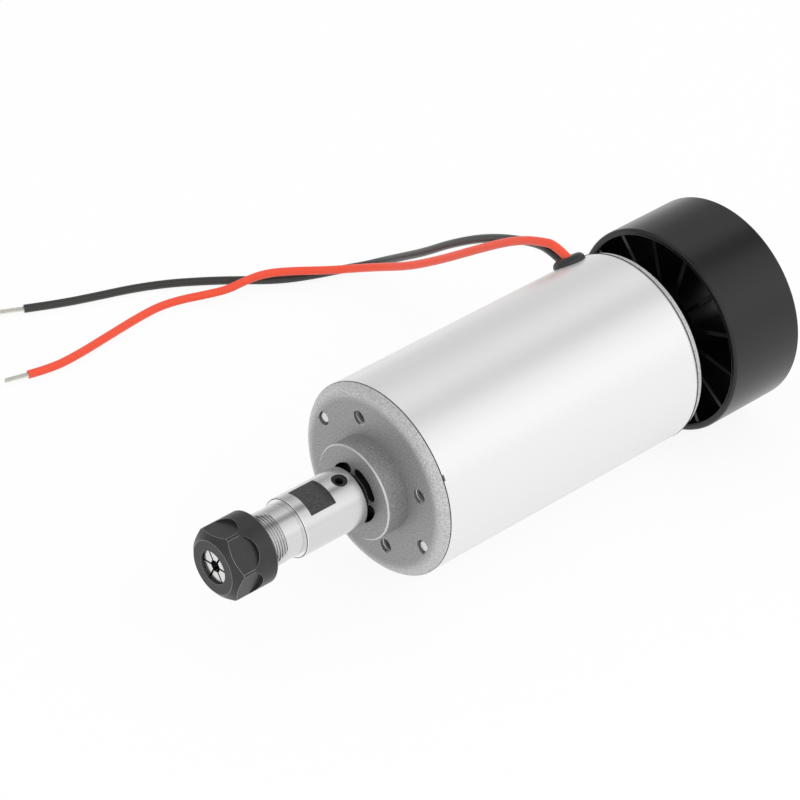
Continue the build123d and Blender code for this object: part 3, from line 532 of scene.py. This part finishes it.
def settle(piece):
    """Turns a piece with its modifiers into a plain mesh."""
    depsgraph = bpy.context.evaluated_depsgraph_get()
    depsgraph.update()
    made = piece.evaluated_get(depsgraph)
    mesh = bpy.data.meshes.new_from_object(made, preserve_all_data_layers=True, depsgraph=depsgraph)
    piece.modifiers.clear()
    if piece.type == "MESH":
        piece.data = mesh
        return piece
    name = piece.name
    bpy.data.objects.remove(piece)
    return new_object(name, mesh)


def smooth(mesh, angle=35):
    """Smooth shading, with edges sharper than the angle kept sharp."""
    mesh.shade_smooth()
    mesh.set_sharp_from_angle(angle=radians(angle))


def shade(mesh, angle=30):
    """Shading that follows the larger faces at each corner, so that only the rounded edges look rounded."""
    around = [[] for _ in mesh.vertices]
    for face in mesh.polygons:
        for corner in face.vertices:
            around[corner].append(face.normal * face.area)
    limit = cos(radians(angle))
    trace = 1e-12  # of the face's own normal, so that a corner of faces with no area has a direction too
    normals = []
    for face in mesh.polygons:
        for corner in face.vertices:
            near = (other for other in around[corner] if other.dot(face.normal) > limit * other.length)
            normals.append(sum(near, face.normal * trace).normalized())
    mesh.normals_split_custom_set(normals)


def stand_for(piece, node, *finishes):
    """Puts a piece in the place of a CAD node, with the node's body, and dresses it if asked to."""
    if finishes:
        piece.data.materials.clear()
        for name in finishes:
            piece.data.materials.append(finish(name))
    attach(piece, body_of(node))
    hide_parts(node)
    return piece


def merged(node, angle):
    """A mesh copy of a CAD node: flat faces in one piece, and outer edges sharper than the angle marked."""
    same_place = 0.002 * mm
    same_plane = radians(0.4)
    shape = bmesh.new()
    shape.from_mesh(frame["nodes"][node].data)
    bmesh.ops.remove_doubles(shape, verts=shape.verts, dist=same_place)
    bmesh.ops.dissolve_limit(shape, angle_limit=same_plane, verts=shape.verts, edges=shape.edges)
    weight = shape.edges.layers.float.new("bevel_weight_edge")
    for edge in shape.edges:
        if edge.is_manifold and edge.is_convex and edge.calc_face_angle() > radians(angle):
            edge[weight] = 1
    mesh = bpy.data.meshes.new(node)
    shape.to_mesh(mesh)
    shape.free()
    smooth(mesh, angle)
    return mesh


def rounded(name, node, width, finishes, angle=28):
    """A copy of a CAD node whose outer edges are rounded. The rounding takes the second finish."""
    mesh = merged(node, angle)
    piece = new_object(name, mesh)
    for label in finishes:
        mesh.materials.append(finish(label))
    rounding = piece.modifiers.new("Rounding", "BEVEL")
    rounding.width = width
    rounding.segments = 2
    rounding.limit_method = "WEIGHT"
    rounding.material = 1
    rounding.use_clamp_overlap = True
    settle(piece)
    shade(piece.data)
    return stand_for(piece, node)


def ring(name, x, radius, width, height, finish_name, node):
    """A thin bead round the spindle, with a flat oval section."""
    mesh = bpy.data.meshes.new(name)
    shape = bmesh.new()
    around = 160
    section = 8
    rows = []
    for i in range(around):
        turn = 2 * pi * i / around
        row = []
        for j in range(section):
            lean = 2 * pi * j / section
            r = radius + height * sin(lean)
            row.append(shape.verts.new((x + width / 2 * cos(lean), r * cos(turn), r * sin(turn))))
        rows.append(row)
    for i in range(around):
        here = rows[i]
        there = rows[(i + 1) % around]
        for j in range(section):
            k = (j + 1) % section
            shape.faces.new((here[j], here[k], there[k], there[j]))
    bmesh.ops.recalc_face_normals(shape, faces=shape.faces)
    shape.to_mesh(mesh)
    shape.free()
    smooth(mesh)
    mesh.materials.append(finish(finish_name))
    piece = new_object(name, mesh)
    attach(piece, body_of(node))


def geometry_tree(name, inputs):
    """An empty geometry node tree with these inputs, and the sockets of its input and output nodes."""
    tree = bpy.data.node_groups.new(name, "GeometryNodeTree")
    for label, kind in inputs.items():
        tree.interface.new_socket(label, in_out="INPUT", socket_type=f"NodeSocket{kind}")
    tree.interface.new_socket("Geometry", in_out="OUTPUT", socket_type="NodeSocketGeometry")
    return tree, tree.nodes.new("NodeGroupInput").outputs, tree.nodes.new("NodeGroupOutput").inputs


def grow(name, tree, values):
    """An object grown by a geometry tree, turned into a plain mesh."""
    piece = new_object(name, bpy.data.meshes.new(name))
    modifier = piece.modifiers.new("Growth", "NODES")
    modifier.node_group = tree
    for item in tree.interface.items_tree:
        if item.item_type == "SOCKET" and item.in_out == "INPUT" and item.name in values:
            modifier[item.identifier] = values[item.name]
    return settle(piece)


def finish_tree(tree, geometry, material, out):
    """Ends a geometry tree: real geometry, with its finish."""
    real = put(tree, "GeometryNodeRealizeInstances", {0: geometry})
    painted = put(tree, "GeometryNodeSetMaterial", {"Geometry": real.outputs[0], "Material": material})
    link(tree, painted.outputs[0], out["Geometry"])


def swept_coil(tree, given, radius, height, thickness, resolution, sides):
    """A wire wound about Z, with a section of this radius and number of sides."""
    path = {
        "Resolution": resolution,
        "Rotations": given["Turns"],
        "Start Radius": radius,
        "End Radius": radius,
        "Height": height,
    }
    coil = put(tree, "GeometryNodeCurveSpiral", path).outputs[0]
    section = put(tree, "GeometryNodeCurvePrimitiveCircle", {"Resolution": sides, "Radius": thickness})
    wire = {"Curve": coil, "Profile Curve": section.outputs[0], "Fill Caps": True}
    return put(tree, "GeometryNodeCurveToMesh", wire).outputs[0]


def moved(tree, geometry, **values):
    """The geometry after a move or a turn."""
    return put(tree, "GeometryNodeTransform", {"Geometry": geometry, **values}).outputs[0]


def thread_tree():
    """A ridge wound along a tapped hole, repeated on a circle round the spindle."""
    tree, given, out = geometry_tree(
        "Tapped holes",
        {
            "Count": "Int",
            "Circle radius": "Float",
            "First angle": "Float",
            "Hole radius": "Float",
            "Ridge": "Float",
            "Pitch": "Float",
            "Turns": "Float",
            "Start": "Float",
            "Material": "Material",
        },
    )
    height = maths(tree, "MULTIPLY", given["Pitch"], given["Turns"])
    ridge = swept_coil(tree, given, given["Hole radius"], height, given["Ridge"], resolution=28, sides=4)
    start = put(tree, "ShaderNodeCombineXYZ", {"X": given["Start"]}).outputs[0]
    along = moved(tree, ridge, Rotation=(0, pi / 2, 0), Translation=start)
    round_it = {"Vertices": given["Count"], "Radius": given["Circle radius"]}
    circle = put(tree, "GeometryNodeMeshCircle", round_it).outputs[0]
    turn = put(tree, "ShaderNodeCombineXYZ", {"X": given["First angle"]}).outputs[0]
    upright = moved(tree, circle, Rotation=(pi / 2, 0, pi / 2))
    holes = moved(tree, upright, Rotation=turn)
    copies = put(tree, "GeometryNodeInstanceOnPoints", {"Points": holes, "Instance": along}).outputs[0]
    finish_tree(tree, copies, given["Material"], out)
    return tree


def strand_tree():
    """A bundle of strands twisted round one another, along Z."""
    tree, given, out = geometry_tree(
        "Twisted strands",
        {
            "Count": "Int",
            "Strand radius": "Float",
            "Bundle radius": "Float",
            "Length": "Float",
            "Turns": "Float",
            "Material": "Material",
        },
    )
    radius, height, thickness = (given[name] for name in ("Bundle radius", "Length", "Strand radius"))
    strand = swept_coil(tree, given, radius, height, thickness, resolution=32, sides=8)
    points = put(tree, "GeometryNodeMeshLine", {"Count": given["Count"], "Offset": (0, 0, 0)}).outputs[0]
    number = put(tree, "GeometryNodeInputIndex").outputs[0]
    angle = maths(tree, "MULTIPLY", number, maths(tree, "DIVIDE", 2 * pi, given["Count"]))
    turn = put(tree, "ShaderNodeCombineXYZ", {"Z": angle}).outputs[0]
    spread = {"Points": points, "Instance": strand, "Rotation": turn}
    copies = put(tree, "GeometryNodeInstanceOnPoints", spread).outputs[0]
    finish_tree(tree, copies, given["Material"], out)
    return tree


class SPINDLE_OT_casing(bpy.types.Operator):
    """Dresses the can and the bells, and draws the seals of their seams"""

    bl_idname = "spindle.casing"
    bl_label = "Casing"

    def execute(self, context):
        sizes = context.scene.spindle_sizes
        # The can's rounded edges take the second, lighter finish as a painted highlight
        rounded("can_shell", "motor_can", sizes.casting_edge, ["can", "can_edge"])
        for name, node in (("front_casting", "front_bell"), ("rear_casting", "rear_bell")):
            # The third finish, the bearing seal's black, is painted shade on the walls of the boss's slots
            finishes = ["casting", "casting_edge", "seal"]
            casting = rounded(name, node, sizes.casting_edge, finishes, casting_angle)
            for face in casting.data.polygons:
                if abs(abs(face.normal.x) - cos(pi / 4)) < normal_slack:
                    face.material_index = 1
                # Slot walls take the black seal finish as painted shade
                if self.in_shaded_slot(face, sizes):
                    face.material_index = 2
        low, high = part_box("motor_can")
        for name, x in (("front_seam", low.x - seam_gap), ("rear_seam", high.x + seam_gap)):
            ring(name, x, high.y - seam_sink, sizes.seam, seam_height, "seam", "motor_can")
        dress("bolt", "tie_bolts", "brush_card_screws")
        dress("spring", "tie_bolt_washers", "magnet_clips")
        dress("magnet", "magnets")
        return {"FINISHED"}

    def in_shaded_slot(self, face, sizes):
        """Whether a face is a wall of the boss's slots or of the hole between them; these walls take the
        seal's black as painted shade.
        """
        ahead = face.center.x < -sizes.boss_wall
        near = face.center.yz.length < sizes.slot_reach
        return ahead and near and abs(face.normal.x) < normal_slack


class SPINDLE_OT_threads(bpy.types.Operator):
    """Winds the thread of the four tapped mounting holes"""

    bl_idname = "spindle.threads"
    bl_label = "Tapped holes"

    def execute(self, context):
        sizes = context.scene.spindle_sizes
        pattern = next(m for m in frame["record"]["mounts"] if m["name"] == "front_bolt_circle")["dims"]
        piece = grow(
            "mount_threads",
            thread_tree(),
            {
                "Count": pattern["count"],
                "Circle radius": pattern["pcd_mm"] / 2 * mm,
                "First angle": first_hole,
                "Hole radius": pattern["hole_r_mm"] * mm,
                "Ridge": sizes.thread_depth,
                "Pitch": sizes.thread_pitch,
                "Turns": thread_turns,
                "Start": thread_start,
                "Material": finish("casting_edge"),
            },
        )
        smooth(piece.data)
        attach(piece, body_of("front_bell"))
        return {"FINISHED"}


class SPINDLE_OT_nose(bpy.types.Operator):
    """Dresses the collet holder, the nut, the collet and the grub screws"""

    bl_idname = "spindle.nose"
    bl_label = "Nose"

    def execute(self, context):
        sizes = context.scene.spindle_sizes
        # The second finish is a painted highlight, the third a painted dark reflection
        holder = rounded("nose_holder", "collet_holder", sizes.steel_edge, ["steel", "steel_edge", "flats"])
        self.paint_holder(holder.data.polygons, sizes.flat_reach)
        rounded("chuck_nut", "collet_nut", sizes.nut_edge, ["nut", "nut_edge"])
        collet = rounded("chuck_collet", "collet", sizes.collet_edge, ["collet", "collet_edge", "carbon"])
        for face in collet.data.polygons:
            # The collet's slot walls take the black carbon finish as painted shade
            if abs(face.normal.x) < normal_slack and abs(face.center.dot(face.normal)) < shaded_collet_slot:
                face.material_index = 2
        dress("screw", "grub_screws")
        return {"FINISHED"}

    def paint_holder(self, faces, flat_reach):
        """Paints a dark reflection on the wrench flats and on a line round the shoulder's edge, and paints a
        highlight on the shoulder.
        """
        for face in faces:
            x, lean = face.center.x, face.normal.x
            slack = abs(face.center.dot(face.normal) - flat_reach)
            # The wrench flats take the dark finish as a painted dark reflection
            if abs(lean) < normal_slack and slack < flat_slack and x > flats_front:
                face.material_index = 2
            # The shoulder facing forward gets a painted highlight, and a band of it a painted dark reflection
            if shoulder_front < x < shoulder_rear and lean < shoulder_highlight_lean:
                face.material_index = 2 if reflection_line_start < lean < reflection_line_end else 1


class SPINDLE_OT_fan(bpy.types.Operator):
    """Dresses the fan and its bush"""

    bl_idname = "spindle.fan"
    bl_label = "Fan"

    def execute(self, context):
        sizes = context.scene.spindle_sizes
        # The fan's rounded edges take the second, lighter finish as a painted highlight
        rounded("fan_wheel", "cooling_fan", sizes.fan_edge, ["fan", "fan_edge"])
        dress("brass", "fan_bush")
        return {"FINISHED"}


class SPINDLE_OT_bearings(bpy.types.Operator):
    """Dresses the two bearings and what holds them"""

    bl_idname = "spindle.bearings"
    bl_label = "Bearings"

    def execute(self, context):
        for side in ("front", "rear"):
            dress("race", f"{side}_outer_race", f"{side}_inner_race", f"{side}_balls")
            dress("brass", f"{side}_cage")
            dress("seal", f"{side}_seals")
        dress("spring", "bearing_retaining_ring", "preload_washer")
        return {"FINISHED"}


class SPINDLE_OT_rotor(bpy.types.Operator):
    """Dresses the shaft, the armature and the commutator"""

    bl_idname = "spindle.rotor"
    bl_label = "Rotor"

    def execute(self, context):
        dress("steel", "motor_shaft")
        dress("core", "armature_core")
        dress("insulator", "armature_insulators")
        dress("copper", "armature_windings")
        dress("segments", "commutator_segments")
        dress("moulding", "commutator_hub")
        return {"FINISHED"}


class SPINDLE_OT_brush_gear(bpy.types.Operator):
    """Dresses the brush card, its boxes, its carbons and the inner leads, and puts copies of its springs in
    place
    """

    bl_idname = "spindle.brush_gear"
    bl_label = "Brush gear"

    def execute(self, context):
        dress("moulding", "brush_card")
        dress("brass", "brush_boxes")
        dress("carbon", "carbon_brush_1", "carbon_brush_2")
        dress("red_lead", "red_inner_lead")
        dress("black_lead", "black_inner_lead")
        for number in (1, 2):
            self.spring(f"brush_spring_{number}", f"brush_{number}_slide")
        return {"FINISHED"}

    def spring(self, node, joint):
        """A brush spring, a copy of its CAD node with the spring finish."""
        wire_angle = 35
        piece = new_object(f"coil_{node}", merged(node, wire_angle))
        stand_for(piece, node, "spring")
        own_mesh(piece)


class SPINDLE_OT_leads(bpy.types.Operator):
    """Lays the two free leads with their bare twisted ends, and dresses their grommet"""

    bl_idname = "spindle.leads"
    bl_label = "Leads"

    def execute(self, context):
        strand_radius = context.scene.spindle_sizes.strand / 2
        tree = strand_tree()
        cords = (("red", red_route, red_length), ("black", black_route, black_length))
        for tone, route, real_length in cords:
            strands = self.bare_end(f"{tone}_strands", route, tree, strand_radius)
            stand_for(strands, f"{tone}_tinned_end")
            cord = self.lay(f"{tone}_cord", route)
            stand_for(cord, f"{tone}_lead", f"{tone}_lead")
        dress("grommet", "lead_grommet")
        return {"FINISHED"}

    def lay(self, name, route):
        """A lead as a smooth curve along its route."""
        curve = bpy.data.curves.new(name, "CURVE")
        curve.dimensions = "3D"
        curve.bevel_depth = lead_diameter / 2
        curve.bevel_resolution = 5
        curve.resolution_u = 12
        curve.use_fill_caps = True
        spline = curve.splines.new("NURBS")
        spline.points.add(len(route) - 1)
        for point, place in zip(spline.points, route):
            point.co = (*place, 1)
        spline.order_u = 3
        spline.use_endpoint_u = True
        return new_object(name, curve)

    def bare_end(self, name, route, tree, strand_radius):
        """The twisted strands that stand out of a lead's end."""
        outer = bare_radius - strand_radius
        inner = outer - 2 * strand_radius
        shape = bmesh.new()
        for number, (count, radius) in enumerate(((outer_strands, outer), (inner_strands, inner))):
            grown = grow(
                f"{name}_{number}",
                tree,
                {
                    "Count": count,
                    "Strand radius": strand_radius,
                    "Bundle radius": radius,
                    "Length": bare_length,
                    "Turns": bare_turns,
                    "Material": finish("tinned"),
                },
            )
            shape.from_mesh(grown.data)
            bpy.data.objects.remove(grown)
        end = Vector(route[-1])
        direction = (end - Vector(route[-2])).normalized()
        turn = direction.to_track_quat("Z", "Y").to_matrix().to_4x4()
        bmesh.ops.transform(shape, matrix=Matrix.Translation(end) @ turn, verts=shape.verts)
        mesh = bpy.data.meshes.new(name)
        shape.to_mesh(mesh)
        shape.free()
        mesh.materials.append(finish("tinned"))
        smooth(mesh, angle=60)
        return new_object(name, mesh)


class SPINDLE_OT_stage(bpy.types.Operator):
    """Sets the floor, the light and the camera of the photograph"""

    bl_idname = "spindle.stage"
    bl_label = "Stage"

    def execute(self, context):
        self.floor()
        self.sky(context.scene.spindle_stage.sky)
        self.lamps(context.scene.spindle_stage.key)
        self.camera(context.scene.spindle_stage.lens)
        context.scene.view_settings.view_transform = "Standard"
        return {"FINISHED"}

    def floor(self):
        """A pale plane under the fan's and the can's front edges."""
        fan_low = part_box("cooling_fan")[0]
        can_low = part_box("motor_can")[0]
        slope = (can_low.z - fan_low.z) / (can_low.x - fan_low.x)
        reach = 3.0
        shine = 0.9
        mesh = bpy.data.meshes.new("floor")
        corners = [(-reach, -reach), (reach, -reach), (reach, reach), (-reach, reach)]
        verts = [(x, y, fan_low.z + (x - fan_low.x) * slope) for x, y in corners]
        mesh.from_pydata(verts, [], [(0, 1, 2, 3)])
        plane = new_object("floor", mesh)
        material = bpy.data.materials.new("pale floor")
        material.use_nodes = True
        tree = material.node_tree
        tree.nodes.clear()
        share = maths(tree, "MULTIPLY", self.seen(tree), shine)
        white = put(tree, "ShaderNodeEmission", {"Color": (1, 1, 1, 1), "Strength": 1.0})
        matt = put(tree, "ShaderNodeBsdfDiffuse", {"Color": (0.85, 0.85, 0.85, 1)})
        mixed = put(tree, "ShaderNodeMixShader", {0: share, 1: matt.outputs[0], 2: white.outputs[0]})
        put(tree, "ShaderNodeOutputMaterial", {"Surface": mixed.outputs[0]})
        mesh.materials.append(material)

    def seen(self, tree):
        """1 for what the camera, a reflection or glass sees."""
        path = put(tree, "ShaderNodeLightPath").outputs
        first = maths(tree, "MAXIMUM", path["Is Camera Ray"], path["Is Glossy Ray"])
        return maths(tree, "MAXIMUM", first, path["Is Transmission Ray"])

    def sky(self, strength):
        """A white room. Metal shows it in bands round the spindle, as soft boxes make them."""
        world = bpy.data.worlds.new("white room")
        world.use_nodes = True
        tree = world.node_tree
        tree.nodes.clear()
        direction = put(tree, "ShaderNodeTexCoord").outputs["Generated"]
        parts = put(tree, "ShaderNodeSeparateXYZ", {0: direction}).outputs
        angle = maths(tree, "ARCTAN2", parts["Z"], parts["Y"])
        share = put(tree, "ShaderNodeMapRange", {0: angle, 1: -pi, 2: pi})
        ramp = put(tree, "ShaderNodeValToRGB", {0: share.outputs[0]})
        elements = ramp.color_ramp.elements
        while len(elements) < len(SKY_BANDS):
            elements.new(0.5)
        for element, (degrees, value) in zip(elements, SKY_BANDS):
            element.position = (degrees + 180) / 360
            element.color = (value, value, value, 1)
        path = put(tree, "ShaderNodeLightPath").outputs
        white = put(tree, "ShaderNodeBackground", {"Color": (1, 1, 1, 1), "Strength": 1.0})
        bands = put(tree, "ShaderNodeBackground", {"Color": ramp.outputs[0], "Strength": strength})
        mixed = put(
            tree, "ShaderNodeMixShader", {0: path["Is Glossy Ray"], 1: white.outputs[0], 2: bands.outputs[0]}
        )
        put(tree, "ShaderNodeOutputWorld", {"Surface": mixed.outputs[0]})
        bpy.context.scene.world = world

    def lamps(self, power):
        """Two soft lamps: a large one on the camera's right, and a weaker one before the nose."""
        target = Vector((0.04, 0, 0))
        for name, place, size, watts in (
            ("key lamp", Vector((0.3, -0.9, 0.75)), 0.9, power),
            ("front lamp", Vector((-1.0, -0.2, 0.5)), 0.7, 0.35 * power),
        ):
            data = bpy.data.lights.new(name, "AREA")
            data.shape = "DISK"
            data.size = size
            data.energy = watts
            lamp = new_object(name, data)
            lamp.visible_glossy = False
            facing = (place - target).to_track_quat("Z", "Y").to_matrix().to_4x4()
            lamp.matrix_world = Matrix.Translation(place) @ facing

    def camera(self, lens):
        """The photograph's camera, by its place, its angles and its lens."""
        place = Vector((-0.488009, -0.548362, 0.530498))
        azimuth, elevation, roll = (radians(angle) for angle in (-42.203, 34.579, -0.280))
        back = Vector((sin(azimuth) * cos(elevation), -cos(azimuth) * cos(elevation), sin(elevation)))
        level = Vector((cos(azimuth), sin(azimuth), 0))
        upright = back.cross(level)
        right = level * cos(roll) + upright * sin(roll)
        up = upright * cos(roll) - level * sin(roll)
        data = bpy.data.cameras.new("photo camera")
        data.lens = lens
        data.sensor_width = 36
        data.clip_start = 0.01
        camera = new_object("photo camera", data)
        camera.matrix_world = Matrix.Translation(place) @ Matrix((right, up, back)).transposed().to_4x4()
        bpy.context.scene.camera = camera


OPERATORS = (
    SPINDLE_OT_leads,
    SPINDLE_OT_casing,
    SPINDLE_OT_threads,
    SPINDLE_OT_nose,
    SPINDLE_OT_fan,
    SPINDLE_OT_bearings,
    SPINDLE_OT_rotor,
    SPINDLE_OT_brush_gear,
    SPINDLE_OT_stage,
)


class SPINDLE_PT_sidebar(bpy.types.Panel):
    """Lists the spindle's settings and operators"""

    bl_idname = "SPINDLE_PT_sidebar"
    bl_label = "Motor spindle"
    bl_space_type = "VIEW_3D"
    bl_region_type = "UI"
    bl_category = "Spindle"

    def draw(self, context):
        for settings in (
            context.scene.spindle_finishes,
            context.scene.spindle_sizes,
            context.scene.spindle_stage,
        ):
            for name in settings.__annotations__:
                self.layout.prop(settings, name)
        for operator in OPERATORS:
            self.layout.operator(operator.bl_idname)


SETTINGS = {
    "spindle_finishes": SpindleFinishes,
    "spindle_sizes": SpindleSizes,
    "spindle_stage": SpindleStage,
}


def register():
    """Registers the settings, the operators and the panel."""
    for name, settings in SETTINGS.items():
        bpy.utils.register_class(settings)
        setattr(bpy.types.Scene, name, PointerProperty(type=settings))
    for operator in OPERATORS:
        bpy.utils.register_class(operator)
    bpy.utils.register_class(SPINDLE_PT_sidebar)


def unregister():
    """Takes away what register adds."""
    bpy.utils.unregister_class(SPINDLE_PT_sidebar)
    for operator in reversed(OPERATORS):
        bpy.utils.unregister_class(operator)
    for name, settings in SETTINGS.items():
        delattr(bpy.types.Scene, name)
        bpy.utils.unregister_class(settings)


def main():
    """Dresses the spindle."""
    register()
    for operator in OPERATORS:
        space, action = operator.bl_idname.split(".")
        getattr(getattr(bpy.ops, space), action)()


if __name__ == "__main__":
    main()
